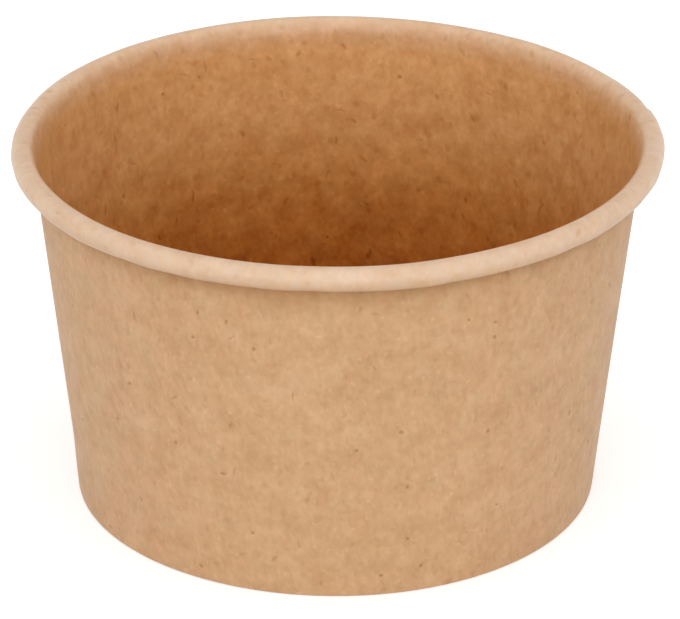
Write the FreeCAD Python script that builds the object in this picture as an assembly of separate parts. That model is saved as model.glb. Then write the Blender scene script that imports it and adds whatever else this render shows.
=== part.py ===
import FreeCAD, Part
import math
import os

# Small kraft-paper portion cup, about 120 ml.
#
# Two boards make it. The side wall is one blank wrapped into a cone: its two ends lap at the side
# seam, its top edge is rolled outwards into the rim and its bottom edge is folded in and up as a
# hem. The bottom disc is thinner board with its edge turned down into a skirt, which is clamped
# between the wall and the hem.
#
# Millimetres. The origin is the centre of the foot, on the ground. +Z is up, and the side seam is
# on the +X side, turned a little towards +Y.

V = FreeCAD.Vector

# ---- overall sizes ----
rim_diameter = 75.0        # across the rolled rim
height = 44.0              # ground to the top of the rim
foot_diameter = 61.14      # outer face of the wall carried down to the ground
floor_height = 5.60        # underside of the floor above the ground

# ---- boards ----
wall_board = 0.30
bottom_board = 0.28
seal_gap = 0.02            # left on each side of the skirt where the boards are sealed

# ---- rolled rim, radii to the board's food side ----
roll_radius = 1.344                  # from the wall over the top to the outside
under_radius = 1.06 * roll_radius    # from the outside to the underside
tuck_radius = 0.56 * roll_radius     # last bend, inside the roll
tuck_turn = 62.0                     # degrees the raw edge is carried on inside the roll
wall_clearance = 0.05                # between the roll and the wall it comes back to

# ---- foot ----
crease_radius = 0.06       # inside of the two folds at the foot
fold_clearance = 0.08      # from the lapped fold up to the skirt's lower edge
hem_shortfall = 1.0        # the hem stops this far below the floor
floor_bend = 0.35          # inside radius where the floor turns down into the skirt

# ---- side seam, angles from +X towards +Y ----
seam_middle = 7.0
seam_lap = 7.0             # width of the lap round the rim
lower_ramp = 16.0          # degrees over which the inner end settles back to a single layer
upper_ramp = 6.0           # degrees over which the outer end does
ramp_step = 3.0            # degrees between the outlines of a ramp

# ---- how finely bends are drawn ----
fine_chord = math.radians(28.0)
coarse_chord = math.radians(50.0)

# ---- what follows from those ----
# The wall's outer face starts at the foot's edge and runs into the roll, inside it by one board.
roll_across = rim_diameter / 2 - roll_radius - foot_diameter / 2
roll_up = height - roll_radius
slope = (math.atan2(roll_across, roll_up)
         - math.asin((roll_radius - wall_board) / math.hypot(roll_across, roll_up)))
foot_line = foot_diameter / 2 - wall_board / math.cos(slope)   # wall's food face at the ground
skirt_room = bottom_board + 2 * seal_gap                       # wall to hem, square to the wall
skirt_bottom = 2 * wall_board + fold_clearance
hem_height = floor_height - hem_shortfall
lap_angle = math.degrees(seam_lap / (rim_diameter / 2))
seam_low = seam_middle - lap_angle / 2
seam_high = seam_middle + lap_angle / 2


class Path:
    """A board's face in the section plane, as straight runs and tangent bends in (radius, height).

    A bend is drawn as equal chords, because every bend here is far smaller than the cup.
    """

    def __init__(self, start, heading):
        self.at = start
        self.heading = heading
        self.runs = [(start, 0.0, heading, 0.0, True)]

    def straight(self, length):
        self.at = (self.at[0] + length * math.cos(self.heading),
                   self.at[1] + length * math.sin(self.heading))
        self.runs.append((self.at, 0.0, self.heading, 0.0, True))

    def bend(self, radius, turn, hidden=False):
        """A turn to the left is positive, and a hidden bend has coarse chords on both faces."""
        reach = math.copysign(radius, turn)
        centre = (self.at[0] - reach * math.sin(self.heading),
                  self.at[1] + reach * math.cos(self.heading))
        self.runs.append((centre, reach, self.heading, turn, hidden))
        self.heading += turn
        self.at = (centre[0] + reach * math.sin(self.heading),
                   centre[1] - reach * math.cos(self.heading))

    def points(self, offset, chord_turn):
        """Corners of the line this far to the right of the path."""
        corners = []
        for base, reach, heading, turn, hidden in self.runs:
            chords = max(1, round(abs(turn) / (coarse_chord if hidden else chord_turn)))
            for i in range(1, chords + 1):
                h = heading + turn * i / chords
                corners.append(V(base[0] + (reach + offset) * math.sin(h), 0,
                                 base[1] - (reach + offset) * math.cos(h)))
        return corners


def board_section(path, near, far):
    """Closed outline of a board between two offsets to the right of the path."""
    corners = path.points(near, fine_chord) + path.points(far, coarse_chord)[::-1]
    return Part.makePolygon(corners + corners[:1])


def wall_path(lapped):
    """Food face of the wall blank, from the hem up to the raw edge inside the roll.

    lapped runs from 0 (one layer) to 1 (two layers): the foot's folds lift by one board so the
    outer layer still stands on the ground, and the roll grows by half a board.
    """
    fold_level = wall_board * (1 + lapped)
    radius = roll_radius + lapped * wall_board / 2
    down = -math.pi / 2 - slope
    room = skirt_room / math.cos(slope)

    # the corner where the food face would meet the fold level, and the flat between the creases
    wall_corner = foot_line + fold_level * math.tan(slope)
    hem_corner = wall_corner - room
    hem_bend = crease_radius * math.tan((math.pi / 2 + slope) / 2)
    wall_bend = crease_radius * math.tan((math.pi / 2 - slope) / 2)
    hem_length = (hem_height - fold_level) / math.cos(slope) - hem_bend

    start = (hem_corner + (hem_height - fold_level) * math.tan(slope), hem_height)
    path = Path(start, down)
    path.straight(hem_length)
    path.bend(crease_radius, math.pi / 2 + slope, hidden=True)
    path.straight(room - hem_bend - wall_bend)
    path.bend(crease_radius, math.pi / 2 - slope, hidden=True)

    # up the wall to where the roll starts, its top level with the rim
    roll_centre = height - radius
    roll_start = roll_centre + radius * math.sin(slope)
    path.straight((roll_start - path.at[1]) / math.cos(slope))
    path.bend(radius, -(math.pi / 2 - slope))
    path.bend(radius, -math.pi / 2)
    path.bend(under_radius, -math.pi / 2)
    layers = wall_board * (1 + lapped)
    wall_outside = foot_line + layers / math.cos(slope) + roll_centre * math.tan(slope)
    path.bend(path.at[0] - wall_outside - wall_clearance, -math.pi / 2, hidden=True)
    path.bend(tuck_radius, -math.radians(tuck_turn), hidden=True)
    return path


def turned(wire, angle):
    shape = wire.copy()
    shape.rotate(V(0, 0, 0), V(0, 0, 1), angle)
    return shape


def sector(wire, start, end):
    """The outline swept round the axis between two angles."""
    return Part.Face(turned(wire, start)).revolve(V(0, 0, 0), V(0, 0, 1), end - start)


def ramp(outline, start, end):
    """Ruled shape through outline(share) from angle start (share 0) to angle end (share 1)."""
    steps = max(2, int(round(abs(end - start) / ramp_step)))
    wires = [turned(outline(i / steps), start + (end - start) * i / steps) for i in range(steps + 1)]
    return Part.makeLoft(wires, True, True)


def make_side_wall():
    single = board_section(wall_path(0.0), 0.0, wall_board)
    double = board_section(wall_path(1.0), 0.0, 2 * wall_board)

    def inner_end(share):
        return board_section(wall_path(share), 0.0, wall_board)

    def outer_end(share):
        return board_section(wall_path(share), share * wall_board, (1 + share) * wall_board)

    round_wall = sector(single, seam_high + upper_ramp, seam_low - lower_ramp + 360)
    lap = sector(double, seam_low, seam_high)
    inner_ramp = ramp(inner_end, seam_low - lower_ramp, seam_low)
    outer_ramp = ramp(outer_end, seam_high + upper_ramp, seam_high)
    return round_wall.fuse([inner_ramp, lap, outer_ramp])


def make_bottom_disc():
    top = floor_height + bottom_board
    # the food face: across the floor, round the bend and down the outside of the skirt
    outside = foot_line - seal_gap / math.cos(slope)
    bend_radius = floor_bend + bottom_board
    turn = math.pi / 2 + slope
    corner = outside + top * math.tan(slope)
    reach = bend_radius * math.tan(turn / 2)
    path = Path((0.0, top), 0.0)
    path.straight(corner - reach)
    path.bend(bend_radius, -turn)
    path.straight((path.at[1] - skirt_bottom) / math.cos(slope))
    section = board_section(path, 0.0, bottom_board)
    return Part.Face(section).revolve(V(0, 0, 0), V(0, 0, 1), 360)


def single_solid(shape):
    """The one closed solid in a shape, seen to be valid."""
    solids = shape.Solids
    if len(solids) != 1:
        raise RuntimeError("expected one solid, got %d" % len(solids))
    solid = solids[0]
    if solid.Volume < 0:
        solid.reverse()
    if not solid.isValid() or not solid.Shells[0].isClosed():
        raise RuntimeError("the solid is not valid and closed")
    return solid


os.makedirs("parts", exist_ok=True)
nodes = {"side_wall": make_side_wall(), "bottom_disc": make_bottom_disc()}
for name, shape in nodes.items():
    single_solid(shape).exportStep("parts/%s.step" % name)
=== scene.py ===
import math
import bpy
import numpy as np
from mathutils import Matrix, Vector


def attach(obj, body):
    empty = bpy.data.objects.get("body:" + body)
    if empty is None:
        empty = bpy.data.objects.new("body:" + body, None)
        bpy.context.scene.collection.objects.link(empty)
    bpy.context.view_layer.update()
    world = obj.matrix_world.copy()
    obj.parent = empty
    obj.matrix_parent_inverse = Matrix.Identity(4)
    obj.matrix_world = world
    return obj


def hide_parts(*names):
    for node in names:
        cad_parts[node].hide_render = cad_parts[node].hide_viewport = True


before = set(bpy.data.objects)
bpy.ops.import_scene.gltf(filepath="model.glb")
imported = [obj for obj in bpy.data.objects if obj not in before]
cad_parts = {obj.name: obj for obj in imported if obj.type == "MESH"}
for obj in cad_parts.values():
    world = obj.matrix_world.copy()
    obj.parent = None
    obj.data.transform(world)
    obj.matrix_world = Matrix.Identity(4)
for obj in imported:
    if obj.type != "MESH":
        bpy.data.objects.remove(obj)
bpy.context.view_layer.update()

# A small kraft-paper portion cup. Both boards are rebuilt here with smooth bends: the side wall is
# one blank wrapped into a cone, lapped at the side seam, rolled into the rim and folded into the
# hem. The bottom disc is clamped between the wall and the hem.
#
# Sizes are the part's own, in millimetres, and MM turns them into Blender's metres.

MM = 0.001

# ---- overall sizes ----
RIM_DIAMETER = 75.0
HEIGHT = 44.0
FOOT_DIAMETER = 61.14
FLOOR_HEIGHT = 5.60        # underside of the floor

# ---- boards ----
WALL = 0.30
BOTTOM = 0.28
SEAL_GAP = 0.02

# ---- rolled rim ----
ROLL_RADIUS = 1.344
UNDER_RADIUS = 1.06 * ROLL_RADIUS
TUCK_RADIUS = 0.56 * ROLL_RADIUS
TUCK_TURN = math.radians(62.0)
WALL_CLEARANCE = 0.05
FLARE_RADIUS = 4.5         # the wall starts to curve outwards a little below the roll
FLARE_TURN = math.radians(16.0)
LAP_PRESSED = 0.45         # share of its thickness each board of the lap keeps in the roll

# ---- foot ----
CREASE_RADIUS = 0.06
FOLD_CLEARANCE = 0.08
HEM_SHORTFALL = 1.0
FLOOR_BEND = 0.35

# ---- side seam, degrees from +X towards +Y ----
SEAM_MIDDLE = 7.0
SEAM_LAP = 7.0             # millimetres round the rim
LOWER_RAMP = 16.0
UPPER_RAMP = 6.0

# ---- small faults of a real cup ----
# (turns, size, phase) of waves round the cup
OUT_OF_ROUND = [(2, 0.07, -90), (3, 0.03, 200), (5, 0.015, 75)]
FOOT_SHARE = 0.3           # share of that which is left at the foot
RIM_DIPS = [(1, 0.04, -90), (2, 0.10, 90), (7, 0.02, 20), (13, 0.012, 112)]
# the roll's size, as a share of its radius
ROLL_WAVES = [(1, 0.02, 140), (5, 0.006, 10), (11, 0.007, 140), (17, 0.006, 260), (29, 0.006, 33),
              (43, 0.005, 301)]
# (angle, tightness, size) of what stands out: the stiff seam at the rim, and one side of the foot
RIM_SWELLS = [(2.0, 4.0, 0.25), (13.0, 26.0, 0.235)]
FOOT_SWELLS = [(193.0, 4.0, 0.24)]
FOOT_SWELL_HEIGHT = 8.0
FULL_PUSH_RADIUS = 30.0    # the disc is pushed less towards its centre

# ---- rows of mesh along each stretch of a board, and columns round the cup ----
HEM_STEPS = 6
CREASE_STEPS = 4
WALL_STEPS = 26
FLARE_STEPS = 6
ROLL_STEPS = (10, 12, 10, 6, 4)    # top, outside, underside, back to the wall, tuck
FLOOR_STEPS = (40, 8, 6)           # floor, bend, skirt
WALL_COLUMNS = 372
DISC_COLUMNS = 360
END_STOPS = [0.0, 0.02, 0.06, 0.12]    # degrees, close columns where the cut ends are rounded
EDGE_ROUND = 0.06
SHARP_ANGLE = math.radians(50)

# ---- what the materials are told along the board ----
RIM_FADE = (-2.20, 3.71)   # from the flare's start, where the paler rim and its painted sheen fade in
RIM_FADE_POWER = 1.1
UNDER_TURN = (4.11, 6.11)  # from the flare's start, where the roll turns under and its painted shade comes in
# painted shade on the roll's underside, as a share of the darkest painted shade below it
UNDER_ROLL_SHADE_SHARE = 0.5
PAINTED_SHADE_DROP = 3.5          # from the rim's top down to where the painted shade below the roll starts to fade
PAINTED_SHADE_REACH = 1.05
DISC_SHADE_DEPTH = 0.65          # the painted shade on the floor's lining is a little lighter than on the low wall
WALL_BACK_AT = 200.0       # the outside lies this far off on the flat sheet, so that its pattern
DISC_BACK_AT = 90.0        # isn't the inside's
FOOD_SIDE, BACK_SIDE, CUT_EDGE = 0, 1, 2    # places in a piece's list of materials

# ---- what follows from those ----
QUARTER = math.pi / 2
roll_across = RIM_DIAMETER / 2 - ROLL_RADIUS - FOOT_DIAMETER / 2
roll_up = HEIGHT - ROLL_RADIUS
SLOPE = (math.atan2(roll_across, roll_up)
         - math.asin((ROLL_RADIUS - WALL) / math.hypot(roll_across, roll_up)))
FOOT_LINE = FOOT_DIAMETER / 2 - WALL / math.cos(SLOPE)
SKIRT_ROOM = BOTTOM + 2 * SEAL_GAP
SKIRT_BOTTOM = 2 * WALL + FOLD_CLEARANCE
HEM_HEIGHT = FLOOR_HEIGHT - HEM_SHORTFALL
LAP_ANGLE = math.degrees(SEAM_LAP / (RIM_DIAMETER / 2))
SEAM_LOW = SEAM_MIDDLE - LAP_ANGLE / 2
WALL_START = HEM_STEPS + 2 * CREASE_STEPS + 1    # row at the bottom of the wall's straight run
FLARE_START = WALL_START + WALL_STEPS            # row where the flare leaves the straight wall


# ---------------------------------------------------------------- board outlines

class Path:
    """Food face of a board in the section plane: straight runs and tangent bends."""

    def __init__(self, start, heading):
        self.at = start
        self.heading = heading
        self.length = 0.0
        self.rows = [(start[0], start[1], heading, 0.0)]      # r, z, heading, length so far

    def straight(self, length, steps=1):
        for i in range(1, steps + 1):
            d = length * i / steps
            self.rows.append((self.at[0] + d * math.cos(self.heading),
                              self.at[1] + d * math.sin(self.heading),
                              self.heading, self.length + d))
        self.at = self.rows[-1][:2]
        self.length += length

    def bend(self, radius, turn, steps):
        """A turn to the left is positive."""
        reach = math.copysign(radius, turn)
        centre = (self.at[0] - reach * math.sin(self.heading),
                  self.at[1] + reach * math.cos(self.heading))
        for i in range(1, steps + 1):
            h = self.heading + turn * i / steps
            self.rows.append((centre[0] + reach * math.sin(h), centre[1] - reach * math.cos(h),
                              h, self.length + radius * abs(turn) * i / steps))
        self.heading += turn
        self.at = self.rows[-1][:2]
        self.length += radius * abs(turn)

    def array(self):
        return np.array(self.rows)


def wall_rows(lapped, roll_scale):
    """Rows of the wall's food face from the hem's raw edge to the raw edge inside the roll.

    lapped runs from 0 (one layer) to 1 (two layers).
    """
    fold_level = WALL * (1 + lapped)
    radius = ROLL_RADIUS * roll_scale + lapped * WALL * LAP_PRESSED / 2
    room = SKIRT_ROOM / math.cos(SLOPE)
    wall_corner = FOOT_LINE + fold_level * math.tan(SLOPE)
    hem_corner = wall_corner - room
    hem_bend = CREASE_RADIUS * math.tan((QUARTER + SLOPE) / 2)
    wall_bend = CREASE_RADIUS * math.tan((QUARTER - SLOPE) / 2)
    hem_length = (HEM_HEIGHT - fold_level) / math.cos(SLOPE) - hem_bend
    path = Path((hem_corner + (HEM_HEIGHT - fold_level) * math.tan(SLOPE), HEM_HEIGHT),
                -QUARTER - SLOPE)
    path.straight(hem_length, HEM_STEPS)
    path.bend(CREASE_RADIUS, QUARTER + SLOPE, CREASE_STEPS)
    path.straight(room - hem_bend - wall_bend)
    path.bend(CREASE_RADIUS, QUARTER - SLOPE, CREASE_STEPS)
    # the flare takes its turn from the inner side of the roll, whose top stays where it is
    opened = 1 - math.cos(FLARE_TURN)
    inner = ((radius * (1 - math.sin(SLOPE)) - FLARE_RADIUS * opened)
             / (1 - opened - math.sin(SLOPE)))
    flare_start = (HEIGHT - inner + FLARE_RADIUS * math.sin(SLOPE)
                   - (FLARE_RADIUS - inner) * math.sin(SLOPE + FLARE_TURN))
    path.straight((flare_start - path.at[1]) / math.cos(SLOPE), WALL_STEPS)
    path.bend(FLARE_RADIUS, -FLARE_TURN, FLARE_STEPS)
    path.bend(inner, -(QUARTER - SLOPE - FLARE_TURN), ROLL_STEPS[0])
    path.bend(radius, -QUARTER, ROLL_STEPS[1])
    path.bend(UNDER_RADIUS * roll_scale, -QUARTER, ROLL_STEPS[2])
    layers = WALL * (1 + lapped)
    wall_outside = (FOOT_LINE + layers / math.cos(SLOPE)
                    + (HEIGHT - radius) * math.tan(SLOPE))
    path.bend(path.at[0] - wall_outside - WALL_CLEARANCE, -QUARTER, ROLL_STEPS[3])
    path.bend(TUCK_RADIUS, -TUCK_TURN, ROLL_STEPS[4])
    return path.array()


def disc_rows():
    """Rows of the bottom disc's food face from the centre to the skirt's raw edge."""
    top = FLOOR_HEIGHT + BOTTOM
    outside = FOOT_LINE - SEAL_GAP / math.cos(SLOPE)
    bend_radius = FLOOR_BEND + BOTTOM
    turn = QUARTER + SLOPE
    reach = bend_radius * math.tan(turn / 2)
    path = Path((0.0, top), 0.0)
    path.straight(outside + top * math.tan(SLOPE) - reach, FLOOR_STEPS[0])
    path.bend(bend_radius, -turn, FLOOR_STEPS[1])
    path.straight((path.at[1] - SKIRT_BOTTOM) / math.cos(SLOPE), FLOOR_STEPS[2])
    return path.array()


def offset(rows, distance):
    """The line this far to the right of the rows' heading, in (r, z)."""
    return np.stack([rows[:, 0] + distance * np.sin(rows[:, 2]),
                     rows[:, 1] - distance * np.cos(rows[:, 2])], axis=1)


def smooth(t):
    """0 below 0, 1 above 1, and an even S between them."""
    t = np.clip(t, 0, 1)
    return t * t * (3 - 2 * t)


def share_between(value, start, end):
    """How far a value has come from start to end, eased at both."""
    return smooth((value - start) / (end - start))


def waves(theta, table):
    """Sum of cosines round the cup: (turns, size, phase in degrees)."""
    return sum(size * np.cos(turns * theta + math.radians(phase)) for turns, size, phase in table)


def swells(theta, table):
    """Sum of round bumps: (angle in degrees, tightness, size)."""
    return sum(size * np.exp(tightness * (np.cos(theta - math.radians(middle)) - 1))
               for middle, tightness, size in table)


def place(theta, r, z):
    """A point's place on the real, slightly uneven cup, in metres."""
    up = np.clip(z / HEIGHT, 0, 1)
    push = (waves(theta, OUT_OF_ROUND) * (FOOT_SHARE + (1 - FOOT_SHARE) * up)
            + swells(theta, RIM_SWELLS) * up ** 2
            + swells(theta, FOOT_SWELLS) * smooth(1 - z / FOOT_SWELL_HEIGHT))
    dip = waves(theta, RIM_DIPS) * up ** 4
    r = r + push * np.clip(r / FULL_PUSH_RADIUS, 0, 1)
    return np.stack([r * np.cos(theta), r * np.sin(theta), z + dip], axis=-1) * MM


# ---------------------------------------------------------------- meshes

def build(name, points, faces, uv, attributes, materials, material_of):
    """A piece with its flat-sheet UV map, in millimetres, and its point attributes."""
    mesh = bpy.data.meshes.new(name)
    mesh.from_pydata(points.tolist(), [], faces)
    layer = mesh.uv_layers.new(name="sheet")
    corner_vertex = np.empty(len(mesh.loops), dtype=np.int32)
    mesh.loops.foreach_get("vertex_index", corner_vertex)
    layer.data.foreach_set("uv", uv[corner_vertex].astype(np.float32).ravel())
    for key, values in attributes.items():
        mesh.attributes.new(key, "FLOAT", "POINT").data.foreach_set(
            "value", np.asarray(values, dtype=np.float32))
    for material in materials:
        mesh.materials.append(material)
    mesh.polygons.foreach_set("material_index", np.asarray(material_of, dtype=np.int32))
    mesh.polygons.foreach_set("use_smooth", [True] * len(mesh.polygons))
    mesh.set_sharp_from_angle(angle=SHARP_ANGLE)
    mesh.update()
    piece = bpy.data.objects.new(name, mesh)
    bpy.context.scene.collection.objects.link(piece)
    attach(piece, "root")
    return piece


def wall_columns():
    """Columns along the blank, from its outer end to its inner end.

    Each is (angle in degrees, lapped, under, millimetres to the nearer cut end). lapped is 1 for
    two layers, and under is 1 where this board is the layer away from the food.
    """
    full = 360 + LAP_ANGLE
    stops = list(np.linspace(0.0, full, WALL_COLUMNS))
    stops = sorted(set(END_STOPS + [full - s for s in END_STOPS] + stops[1:-1]))
    columns = []
    for phi in stops:
        if phi <= LAP_ANGLE:
            lapped, under = 1.0, 1.0
        elif phi < LAP_ANGLE + UPPER_RAMP:
            under = smooth(1 - (phi - LAP_ANGLE) / UPPER_RAMP)
            lapped = under
        else:
            under = 0.0
            lapped = smooth((phi - (360 - LOWER_RAMP)) / LOWER_RAMP)
        ends = math.radians(min(phi, full - phi)) * RIM_DIAMETER / 2
        columns.append((SEAM_LOW + phi, lapped, under, ends))
    return columns


def make_side_wall(materials):
    columns = wall_columns()
    sin_slope = math.sin(SLOPE)
    apex = FOOT_LINE / sin_slope
    points, uv, rim, depth, painted_shade = [], [], [], [], []
    for angle, lapped, under, ends in columns:
        theta = math.radians(angle)
        rows = wall_rows(lapped, 1.0 + float(waves(theta, ROLL_WAVES)))
        along = rows[:, 3] - rows[FLARE_START, 3]
        on_rim = share_between(along, *RIM_FADE) ** RIM_FADE_POWER
        board = WALL * (1 - (1 - LAP_PRESSED) * lapped * on_rim)
        rounding = max(0.0, EDGE_ROUND - ends)
        trim = EDGE_ROUND - math.sqrt(max(0.0, EDGE_ROUND ** 2 - rounding ** 2))
        food = offset(rows, under * board + trim)
        back = offset(rows, (1 + under) * board - trim)
        outline = np.concatenate([food, back[::-1]])
        points.append(place(theta, outline[:, 0], outline[:, 1]))
        # the cone unrolls into a flat fan round its apex
        reach = apex + rows[:, 3] - rows[WALL_START, 3]
        turn = (theta - math.radians(SEAM_MIDDLE)) * sin_slope - math.pi * sin_slope
        sheet = np.stack([reach * math.sin(turn), reach * math.cos(turn) - apex], axis=1)
        uv.append(np.concatenate([sheet, sheet[::-1] + (0.0, WALL_BACK_AT)]))
        rim.append(np.concatenate([on_rim, on_rim[::-1]]))
        # painted shade: darker on the roll's underside, and on the outside just below the roll
        tucked = share_between(along, *UNDER_TURN)
        below = np.exp(-np.clip(HEIGHT - PAINTED_SHADE_DROP - rows[:, 1], 0, None) / PAINTED_SHADE_REACH)
        painted_shade.append(np.concatenate([UNDER_ROLL_SHADE_SHARE * tucked, below[::-1]]))
        # how far down the cup, which the lining's painted shade follows
        down = np.clip((HEIGHT - rows[:, 1]) / (HEIGHT - FLOOR_HEIGHT), 0, 1)
        depth.append(np.concatenate([down, down[::-1]]))
    across = len(rows) * 2
    count = len(columns)
    faces, material_of = [], []
    for c in range(count - 1):
        a, b = c * across, (c + 1) * across
        for i in range(across):
            j = (i + 1) % across
            faces.append((a + i, a + j, b + j, b + i))
            if i < len(rows) - 1:
                material_of.append(FOOD_SIDE)
            else:
                material_of.append(BACK_SIDE if len(rows) <= i < across - 1 else CUT_EDGE)
    for c, flip in ((0, True), (count - 1, False)):
        a = c * across
        for i in range(len(rows) - 1):
            quad = (a + i, a + i + 1, a + across - 2 - i, a + across - 1 - i)
            faces.append(quad[::-1] if flip else quad)
            material_of.append(CUT_EDGE)
    return build("side_wall_board", np.concatenate(points), faces, np.concatenate(uv),
                 {"rim": np.concatenate(rim), "depth": np.concatenate(depth),
                  "painted_shade": np.concatenate(painted_shade)},
                 materials, material_of)


def make_bottom_disc(materials):
    rows = disc_rows()
    food, back = offset(rows, 0.0), offset(rows, BOTTOM)
    outline = np.concatenate([food[1:], back[:0:-1]])
    points, uv = [], []
    for c in range(DISC_COLUMNS):
        theta = 2 * math.pi * c / DISC_COLUMNS
        points.append(place(theta, outline[:, 0], outline[:, 1]))
        sheet = np.stack([rows[1:, 3] * math.cos(theta), rows[1:, 3] * math.sin(theta)], axis=1)
        uv.append(np.concatenate([sheet, sheet[::-1] + (0.0, DISC_BACK_AT)]))
    points = np.concatenate(points + [[(0, 0, food[0, 1] * MM), (0, 0, back[0, 1] * MM)]])
    uv = np.concatenate(uv + [[(0, 0), (0, DISC_BACK_AT)]])
    side = len(rows) - 1
    across = 2 * side
    faces, material_of = [], []
    top, under = DISC_COLUMNS * across, DISC_COLUMNS * across + 1
    for c in range(DISC_COLUMNS):
        a, b = c * across, (c + 1) % DISC_COLUMNS * across
        for i in range(across - 1):
            faces.append((a + i, b + i, b + i + 1, a + i + 1)[::-1])
            if i < side - 1:
                material_of.append(FOOD_SIDE)
            else:
                material_of.append(BACK_SIDE if i >= side else CUT_EDGE)
        faces.append((top, a, b))
        material_of.append(FOOD_SIDE)
        faces.append((under, b + across - 1, a + across - 1))
        material_of.append(BACK_SIDE)
    none = np.zeros(len(points))
    return build("bottom_disc_board", points, faces, uv,
                 {"rim": none, "depth": none + DISC_SHADE_DEPTH, "painted_shade": none},
                 materials, material_of)


# ---------------------------------------------------------------- materials

class Nodes:
    """Short calls for making a node tree."""

    def __init__(self, tree):
        self.tree = tree
        tree.nodes.clear()

    def add(self, kind, links=(), **settings):
        node = self.tree.nodes.new(kind)
        for key, value in settings.items():
            setattr(node, key, value)
        for socket, value in dict(links).items():
            self.put(node.inputs[socket], value)
        return node

    def put(self, socket, value):
        """A socket takes a link from another socket, or else a constant."""
        if isinstance(value, bpy.types.NodeSocket):
            self.tree.links.new(value, socket)
        else:
            socket.default_value = value

    def maths(self, operation, *values):
        return self.add("ShaderNodeMath", enumerate(values), operation=operation).outputs[0]

    def vector(self, operation, *values):
        return self.add("ShaderNodeVectorMath", enumerate(values), operation=operation).outputs[0]

    def spread(self, value, low, high, to_low=0.0, to_high=1.0, kind="LINEAR"):
        node = self.add("ShaderNodeMapRange", {"Value": value, "From Min": low, "From Max": high,
                                               "To Min": to_low, "To Max": to_high},
                        interpolation_type=kind)
        return node.outputs["Result"]

    def stretch(self, at, scale, turn=0.0, move=(0.0, 0.0)):
        node = self.add("ShaderNodeMapping", {"Vector": at, "Scale": (*scale, 1.0),
                                              "Location": (*move, 0.0),
                                              "Rotation": (0.0, 0.0, turn)})
        return node.outputs["Vector"]

    def noise(self, at, scale, turn=0.0, move=(0.0, 0.0), detail=2.0, roughness=0.5,
              distortion=0.0):
        node = self.add("ShaderNodeTexNoise", {"Vector": self.stretch(at, scale, turn, move),
                                               "Scale": 1.0, "Detail": detail,
                                               "Roughness": roughness, "Distortion": distortion})
        return node.outputs["Fac"]


FLECK_SIZES = (0.45, 1.0)      # smallest and largest, as a share of the stated length
FLECK_DRIFT = 0.7
SHUFFLE = 7.31                 # turns a cell's third value into one unrelated to it


def flecks(n, at, spacing, length, width, share, seed, edge=0.0, bow=0.5, lean=1.1):
    """Short dashes of fibre, one at most in each cell, each at its own angle. 0 to 1."""
    cells = n.stretch(at, (1 / spacing,) * 2, move=(seed, seed * FLECK_DRIFT))
    node = n.add("ShaderNodeTexVoronoi", {"Vector": cells, "Scale": 1.0, "Randomness": 1.0},
                 voronoi_dimensions="2D", feature="F1")
    away = n.vector("SUBTRACT", cells, node.outputs["Position"])
    colour = n.add("ShaderNodeSeparateColor", {"Color": node.outputs["Color"]})
    turn = n.spread(colour.outputs[0], 0.0, 1.0, -lean, lean)
    turned = n.add("ShaderNodeVectorRotate", {"Vector": away, "Angle": turn},
                   rotation_type="Z_AXIS")
    apart = n.add("ShaderNodeSeparateXYZ", {"Vector": turned.outputs[0]})
    size = n.spread(colour.outputs[1], 0.0, 1.0, *FLECK_SIZES)
    along = n.maths("DIVIDE", apart.outputs[1], n.maths("MULTIPLY", size, length / spacing))
    # a slight curl keeps a dash from being a ruled line
    curl = n.maths("MULTIPLY", n.maths("MULTIPLY", apart.outputs[1], apart.outputs[1]),
                   n.spread(colour.outputs[2], 0.0, 1.0, -bow, bow))
    beside = n.maths("DIVIDE", n.maths("ADD", apart.outputs[0], curl), width / spacing)
    reach = n.maths("ADD", n.maths("MULTIPLY", along, along), n.maths("MULTIPLY", beside, beside))
    dash = n.spread(reach, edge, 1.0, 1.0, 0.0, "SMOOTHSTEP")
    draw = n.maths("FRACT", n.maths("MULTIPLY", colour.outputs[2], SHUFFLE))
    return n.maths("MULTIPLY", dash, n.maths("LESS_THAN", draw, share))


# Layers of noise on the flat sheet. scale is in waves per millimetre across and along the blank,
# turn in radians, and move says where on the endless pattern the board is cut from.
NOISES = {
    "mottle": dict(scale=(1.15, 0.80), detail=1.0),
    "clump": dict(scale=(2.2, 1.3), turn=0.2, move=(1.7, 4.2), detail=1.0, roughness=0.4,
                  distortion=0.3),
    "grain": dict(scale=(5.2, 3.2), move=(3.1, 7.7), roughness=0.6, distortion=0.5),
    "bunch": dict(scale=(2.7, 1.1), turn=-0.12, move=(21.0, 3.0), detail=1.0, roughness=0.4),
    "warmth": dict(scale=(0.30, 0.26), move=(11.0, 5.0)),
    "relief": dict(scale=(2.6, 1.6)),
}
UNBENT = ("cloud", "warmth", "relief")     # these don't follow the fibres' wandering
# Short soft strokes where fibres bunch, and longer ones up and down the blank, are cut out of a
# noise: where a stroke starts, and where it is at its full strength.
STROKES = {
    "dark_bunch": ("bunch", 0.60, 0.74),
    "light_bunch": ("bunch", 0.40, 0.27),
    "dark_streak": ("streak", 0.58, 0.74),
    "light_streak": ("streak", 0.42, 0.26),
}
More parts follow.
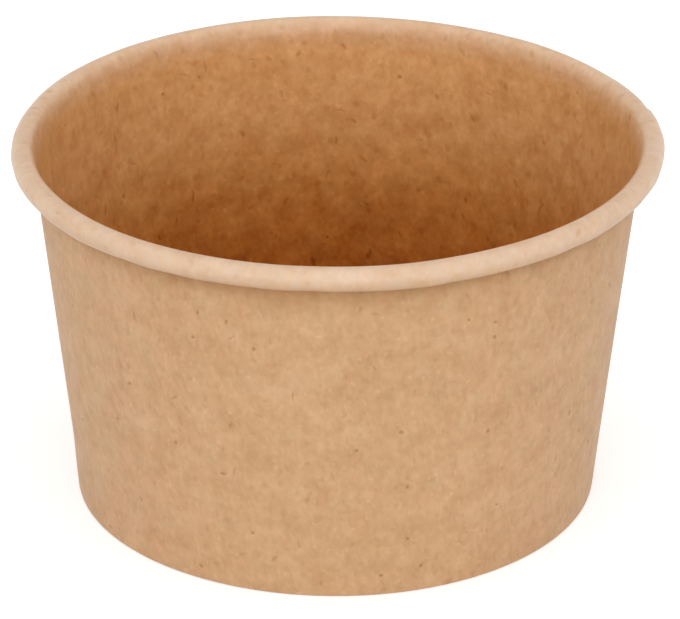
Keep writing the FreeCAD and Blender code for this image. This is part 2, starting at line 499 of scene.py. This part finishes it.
# A board has its own noises and flecks, and tones says how far each layer of the pattern lifts or
# lowers the tone. Darker places are also browner: each channel takes the tone to its own power.
# richness and hue say how far the colour swings.
PLAIN = {
    "lined": False,
    "powers": (1.0, 1.27, 1.88),
    "richness": 0.025,
    "hue": 0.0035,
    "noises": {
        "cloud": dict(scale=(0.14, 0.14), move=(-32.7, -12.7)),
        "patch": dict(scale=(0.42, 0.34), move=(8.9, 33.4)),
        "streak": dict(scale=(2.1, 0.42), turn=0.06, move=(2.0, 31.0), detail=1.0)},
    "tones": {"cloud": 0.034, "patch": 0.064, "mottle": 0.046, "clump": 0.014, "grain": 0.004,
              "light_streak": 0.036, "dark_streak": -0.048, "light_bunch": 0.031,
              "dark_bunch": -0.047, "smudges": -0.062, "spots": 0.067, "curls": -0.092,
              "dabs": 0.085},
    "bark_share": 0.42,
    "fleck_size": 1.15,
    "flecks": {
        "smudges": dict(spacing=1.9, length=0.50, width=0.33, share=0.60, seed=17.0),
        "spots": dict(spacing=2.1, length=0.34, width=0.26, share=0.55, seed=53.0),
        "curls": dict(spacing=4.2, length=0.80, width=0.19, share=0.42, seed=71.0, bow=1.6),
        "dabs": dict(spacing=2.4, length=0.42, width=0.17, share=0.55, seed=83.0, edge=0.1,
                     bow=1.0)},
}
# The food side, seen through its lining.
LINED = {
    "lined": True,
    "powers": (1.0, 1.60, 2.45),
    "richness": 0.015,
    "hue": 0.0025,
    "noises": {
        "cloud": dict(scale=(0.14, 0.14), move=(-10.7, 6.3)),
        "patch": dict(scale=(0.42, 0.34), move=(-39.3, -36.3)),
        "streak": dict(scale=(1.5, 0.42), turn=0.06, move=(2.0, 31.0), detail=1.0)},
    "tones": {"cloud": 0.040, "patch": 0.080, "mottle": 0.038, "clump": 0.010, "grain": 0.003,
              "light_streak": 0.032, "dark_streak": -0.046, "light_bunch": 0.031,
              "dark_bunch": -0.043, "smudges": -0.080, "spots": 0.058, "curls": -0.165,
              "dabs": 0.066},
    "bark_share": 0.18,
    "fleck_size": 1.35,
    "flecks": {
        "smudges": dict(spacing=1.9, length=0.62, width=0.34, share=0.42, seed=17.0, lean=0.5),
        "spots": dict(spacing=2.1, length=0.46, width=0.30, share=0.36, seed=53.0),
        "curls": dict(spacing=3.6, length=0.85, width=0.24, share=0.22, seed=71.0, bow=0.9,
                      lean=0.6),
        "dabs": dict(spacing=2.4, length=0.50, width=0.20, share=0.30, seed=83.0, bow=1.0)},
}
LINED_SQUEEZE = (1.0, 1.2)             # the lined side's whole pattern is shorter up the wall
WANDER_SCALE = 1.1                     # the fibres wander with waves of about a millimetre
WANDER = (0.7, 0.7, 0.0)               # and this far
NOISE_MEAN = (0.5, 0.5, 0.5)
CLOUD_RANGE = (0.3, 0.7)               # nearly all of a noise's values lie in here
NOISE_RANGE = (0.28, 0.72)
MEAN_TONE = 0.995
BARK = dict(spacing=6.5, length=0.42, width=0.30, seed=3.0)
LONG_BARK = dict(spacing=9.5, length=0.95, width=0.20, share=0.42, seed=29.0)
LONG_BARK_STRENGTH = 0.6
BARK_DARK = (0.28, 0.39, 0.52)         # what a fleck of bark takes from each channel
# painted shade under the roll, at its darkest
PAINTED_SHADE_DARK = 0.26
RIM_TEXTURE = 0.45                     # share of the pattern's strength that is left on the rim
# the rim's paler colour: partly the stretched lining, partly a painted sheen
RIM_PALE_AND_SHEEN = 0.30
RIM_PALE_AND_SHEEN_COLOUR = (0.871, 0.88, 0.84)
RIM_RICHNESS = 0.09
DEEP_SHADE_RANGE = (0.25, 0.95)             # from the rim to the floor, where painted shade deepens the lining
DEEP_SHADE_POWERS = (1.95, 1.78, 1.92)
RELIEF = 0.05                          # height of the paper's grain
RELIEF_STRENGTH = 0.5
MOTTLE_IN_ROUGHNESS = 0.5
ROUGHNESS_RANGE = (0.5, 1.0)           # of the grain and that much mottle together
ROUGHNESS_SWING = 0.06
SHEEN_ROUGHNESS = 0.5
NEUTRAL_HUE = 0.5                      # where the node leaves a hue as it is


def kraft(name, colour, roughness, specular, sheen=0.0, board=PLAIN, texture=1.0):
    """Kraft board. colour is linear, and texture scales every tone of the pattern."""
    material = bpy.data.materials.new(name)
    material.use_nodes = True
    n = Nodes(material.node_tree)
    lined = board["lined"]
    sheet = n.add("ShaderNodeUVMap", uv_map="sheet").outputs["UV"]
    if lined:
        sheet = n.stretch(sheet, LINED_SQUEEZE)
    wander = n.add("ShaderNodeTexNoise", {"Vector": sheet, "Scale": WANDER_SCALE, "Detail": 2.0})
    shift = n.vector("SUBTRACT", wander.outputs["Color"], NOISE_MEAN)
    at = n.vector("MULTIPLY_ADD", shift, WANDER, sheet)

    noises = {key: n.noise(sheet if key in UNBENT else at, **sizes)
              for key, sizes in {**NOISES, **board["noises"]}.items()}
    strokes = {key: n.spread(noises[source], start, full, 0.0, 1.0, "SMOOTHSTEP")
               for key, (source, start, full) in STROKES.items()}
    # faint smudges and spots, dark fibres that curl, and light dabs
    coarse = n.stretch(at, (1 / board["fleck_size"],) * 2)
    for key, sizes in board["flecks"].items():
        strokes[key] = flecks(n, coarse, **sizes)
    # a few brown flecks of bark
    bark = n.maths("MAXIMUM", flecks(n, at, share=board["bark_share"], **BARK),
                   n.maths("MULTIPLY", flecks(n, at, **LONG_BARK), LONG_BARK_STRENGTH))

    # all the layers change the tone about its mean
    level = 0.0
    for key, tone in board["tones"].items():
        size = tone * texture
        if key in strokes:
            level = n.maths("MULTIPLY_ADD", strokes[key], size, level)
        else:
            span = CLOUD_RANGE if key == "cloud" else NOISE_RANGE
            level = n.maths("ADD", level, n.spread(noises[key], *span, -size, size))
    if lined:
        rim = n.add("ShaderNodeAttribute", attribute_name="rim").outputs["Fac"]
        left = n.spread(rim, 0.0, 1.0, 1.0, RIM_TEXTURE)
        level = n.maths("MULTIPLY", level, left)
        bark = n.maths("MULTIPLY", bark, left)
    level = n.maths("ADD", level, MEAN_TONE)
    # painted shade: darker on the roll's underside and on the wall just below the roll
    painted_shade = n.add("ShaderNodeAttribute", attribute_name="painted_shade").outputs["Fac"]
    level = n.maths("MULTIPLY", level, n.spread(painted_shade, 0.0, 1.0, 1.0, 1.0 - PAINTED_SHADE_DARK))

    shares = colour
    if lined:
        # the rim is paler: partly the lining scattering more where the board is stretched round
        # the roll, partly a painted sheen
        pale_and_sheen = n.maths("MULTIPLY", rim, RIM_PALE_AND_SHEEN)
        shares = [n.maths("MULTIPLY_ADD", pale_and_sheen, over - own, own)
                  for own, over in zip(colour, RIM_PALE_AND_SHEEN_COLOUR)]
    channels = [n.maths("MULTIPLY", n.maths("POWER", level, power), share)
                for power, share in zip(board["powers"], shares)]
    channels = [n.maths("MULTIPLY", channel, n.maths("MULTIPLY_ADD", bark, -size, 1.0))
                for channel, size in zip(channels, BARK_DARK)]
    if lined:
        # painted shade: the lining's colour darkens and deepens towards the floor of the cup
        depth = n.add("ShaderNodeAttribute", attribute_name="depth").outputs["Fac"]
        channels = [n.maths("POWER", channel,
                            n.spread(depth, *DEEP_SHADE_RANGE, 1.0, deep, "SMOOTHSTEP"))
                    for channel, deep in zip(channels, DEEP_SHADE_POWERS)]
    base = n.add("ShaderNodeCombineColor", enumerate(channels)).outputs[0]
    # the colour is a little richer in some places than in others, most of all on the rim
    swing, drift = board["richness"], board["hue"]
    richness = n.spread(noises["warmth"], *CLOUD_RANGE, 1 + swing, 1 - swing)
    if lined:
        on_rim = n.spread(noises["streak"], *CLOUD_RANGE, RIM_RICHNESS, -RIM_RICHNESS)
        richness = n.maths("MULTIPLY_ADD", on_rim, rim, richness)
    warm = n.add("ShaderNodeHueSaturation", {
        "Color": base, "Value": 1.0, "Saturation": richness,
        "Hue": n.spread(noises["warmth"], *CLOUD_RANGE, NEUTRAL_HUE - drift,
                        NEUTRAL_HUE + drift)})

    bump = n.add("ShaderNodeBump", {"Height": noises["relief"], "Strength": RELIEF_STRENGTH,
                                    "Distance": RELIEF * MM})
    fine = n.maths("MULTIPLY", noises["mottle"], MOTTLE_IN_ROUGHNESS)
    rough = n.spread(n.maths("ADD", noises["grain"], fine), *ROUGHNESS_RANGE,
                     roughness - ROUGHNESS_SWING, roughness + ROUGHNESS_SWING)
    shader = n.add("ShaderNodeBsdfPrincipled", {
        "Base Color": warm.outputs[0], "Roughness": rough, "Normal": bump.outputs[0],
        "Specular IOR Level": specular, "Sheen Weight": sheen,
        "Sheen Roughness": SHEEN_ROUGHNESS})
    n.add("ShaderNodeOutputMaterial", {"Surface": shader.outputs[0]})
    return material


outside = kraft("kraft_outside", (0.605, 0.357, 0.182), roughness=0.82, specular=0.35, sheen=0.18)
inside = kraft("kraft_lined", (0.663, 0.340, 0.127), roughness=0.38, specular=0.4, board=LINED,
               texture=1.1)
cut_edge = kraft("kraft_cut_edge", (0.66, 0.42, 0.24), roughness=0.9, specular=0.2, texture=1.4)
floor_lined = kraft("kraft_floor_lined", (0.650, 0.332, 0.126), roughness=0.38, specular=0.4,
                    board=LINED, texture=1.1)
floor_under = kraft("kraft_floor_under", (0.60, 0.355, 0.185), roughness=0.82, specular=0.3,
                    sheen=0.12)

wall = make_side_wall([inside, outside, cut_edge])
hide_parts("side_wall")
disc = make_bottom_disc([floor_lined, floor_under, cut_edge])
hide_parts("bottom_disc")


# ---------------------------------------------------------------- floor and light

FLOOR_REACH = 4.0          # metres from the cup to the floor's edges
FLOOR_WHITE = 0.8
FLOOR_GLOW = 0.45
WHITE = (1.0, 1.0, 1.0, 1.0)
SKY_SCALE = 4.0            # keeps the ramps' stops under 1
# elevation in degrees, and the studio's brightness there in front, beside and behind the cup
SKY = [(0.0, 1.04, 1.20, 0.75), (8.0, 1.54, 1.06, 0.96), (15.0, 3.15, 0.44, 1.03),
       (23.0, 2.11, 0.52, 0.58), (29.0, 1.72, 0.58, 0.33), (45.0, 1.85, 0.80, 0.30),
       (60.0, 1.42, 1.02, 0.79), (90.0, 1.21, 1.09, 1.05)]


def make_floor():
    """A matt white floor that is seen a little brighter than it lights the cup."""
    mesh = bpy.data.meshes.new("studio_floor")
    corners = [(-1, -1), (1, -1), (1, 1), (-1, 1)]
    mesh.from_pydata([(x * FLOOR_REACH, y * FLOOR_REACH, 0) for x, y in corners], [],
                     [(0, 1, 2, 3)])
    floor = bpy.data.objects.new("studio_floor", mesh)
    bpy.context.scene.collection.objects.link(floor)
    material = bpy.data.materials.new("studio_floor_white")
    material.use_nodes = True
    n = Nodes(material.node_tree)
    ray = n.add("ShaderNodeLightPath")
    seen = n.maths("MAXIMUM", ray.outputs["Is Camera Ray"],
                   n.maths("MAXIMUM", ray.outputs["Is Glossy Ray"],
                           ray.outputs["Is Transmission Ray"]))
    paper = n.add("ShaderNodeBsdfDiffuse", {"Color": (*(FLOOR_WHITE,) * 3, 1.0)})
    glow = n.add("ShaderNodeEmission", {"Color": WHITE,
                                        "Strength": n.maths("MULTIPLY", seen, FLOOR_GLOW)})
    both = n.add("ShaderNodeAddShader", {0: paper.outputs[0], 1: glow.outputs[0]})
    n.add("ShaderNodeOutputMaterial", {"Surface": both.outputs[0]})
    mesh.materials.append(material)


def make_world():
    """A studio whose light changes with elevation, differently in front, beside and behind."""
    world = bpy.data.worlds.new("studio")
    bpy.context.scene.world = world
    world.use_nodes = True
    n = Nodes(world.node_tree)
    way = n.add("ShaderNodeTexCoord").outputs["Generated"]
    towards = n.add("ShaderNodeSeparateXYZ", {"Vector": way})
    up = n.maths("MAXIMUM", towards.outputs[2], 0.0)
    levels = []
    for side in (1, 2, 3):
        ramp = n.add("ShaderNodeValToRGB", {"Fac": up})
        stops = ramp.color_ramp.elements
        for i, row in enumerate(SKY):
            # a new ramp has two stops
            stop = stops[i] if i < 2 else stops.new(row[0])
            stop.position = math.sin(math.radians(row[0]))
            stop.color = (row[side] / SKY_SCALE,) * 3 + (1.0,)
        levels.append(ramp.outputs[0])
    front, beside, behind = levels
    ahead = towards.outputs[1]
    squared = n.maths("MULTIPLY", ahead, ahead)
    colour = beside
    for level, side in ((front, "LESS_THAN"), (behind, "GREATER_THAN")):
        share = n.maths("MULTIPLY", squared, n.maths(side, ahead, 0.0))
        # inputs 6 and 7 and output 2 are the node's colour sockets
        both = n.add("ShaderNodeMix", {0: share, 6: colour, 7: level}, data_type="RGBA")
        colour = both.outputs[2]
    ray = n.add("ShaderNodeLightPath")
    seen = n.maths("MAXIMUM", ray.outputs["Is Camera Ray"], ray.outputs["Is Transmission Ray"])
    light = n.add("ShaderNodeBackground", {"Color": colour, "Strength": SKY_SCALE})
    white = n.add("ShaderNodeBackground", {"Color": WHITE, "Strength": 1.0})
    mix = n.add("ShaderNodeMixShader", {"Fac": seen, 1: light.outputs[0], 2: white.outputs[0]})
    n.add("ShaderNodeOutputWorld", {"Surface": mix.outputs[0]})


make_floor()
make_world()

# ---------------------------------------------------------------- camera

VIEW_DOWN = 0.448577       # radians below the horizon
VIEW_DISTANCE = 0.525      # metres
LOOK_AT_SHARE = 0.48915    # of the cup's height
SENSOR_WIDTH = 36.0
FOCAL_LENGTH = 236.2
SHIFT_X = 0.005
CLIP = (0.01, 100.0)

look_at = Vector((0.0, 0.0, LOOK_AT_SHARE * HEIGHT * MM))
camera = bpy.data.objects.new("camera", bpy.data.cameras.new("camera"))
bpy.context.scene.collection.objects.link(camera)
ahead = Vector((0.0, math.cos(VIEW_DOWN), -math.sin(VIEW_DOWN)))
camera.location = look_at - VIEW_DISTANCE * ahead
camera.rotation_mode = "QUATERNION"
camera.rotation_quaternion = ahead.to_track_quat("-Z", "Y")
camera.data.sensor_width = SENSOR_WIDTH
camera.data.lens = FOCAL_LENGTH
camera.data.shift_x = SHIFT_X
camera.data.clip_start, camera.data.clip_end = CLIP
bpy.context.scene.camera = camera
bpy.context.scene.view_settings.view_transform = "Standard"
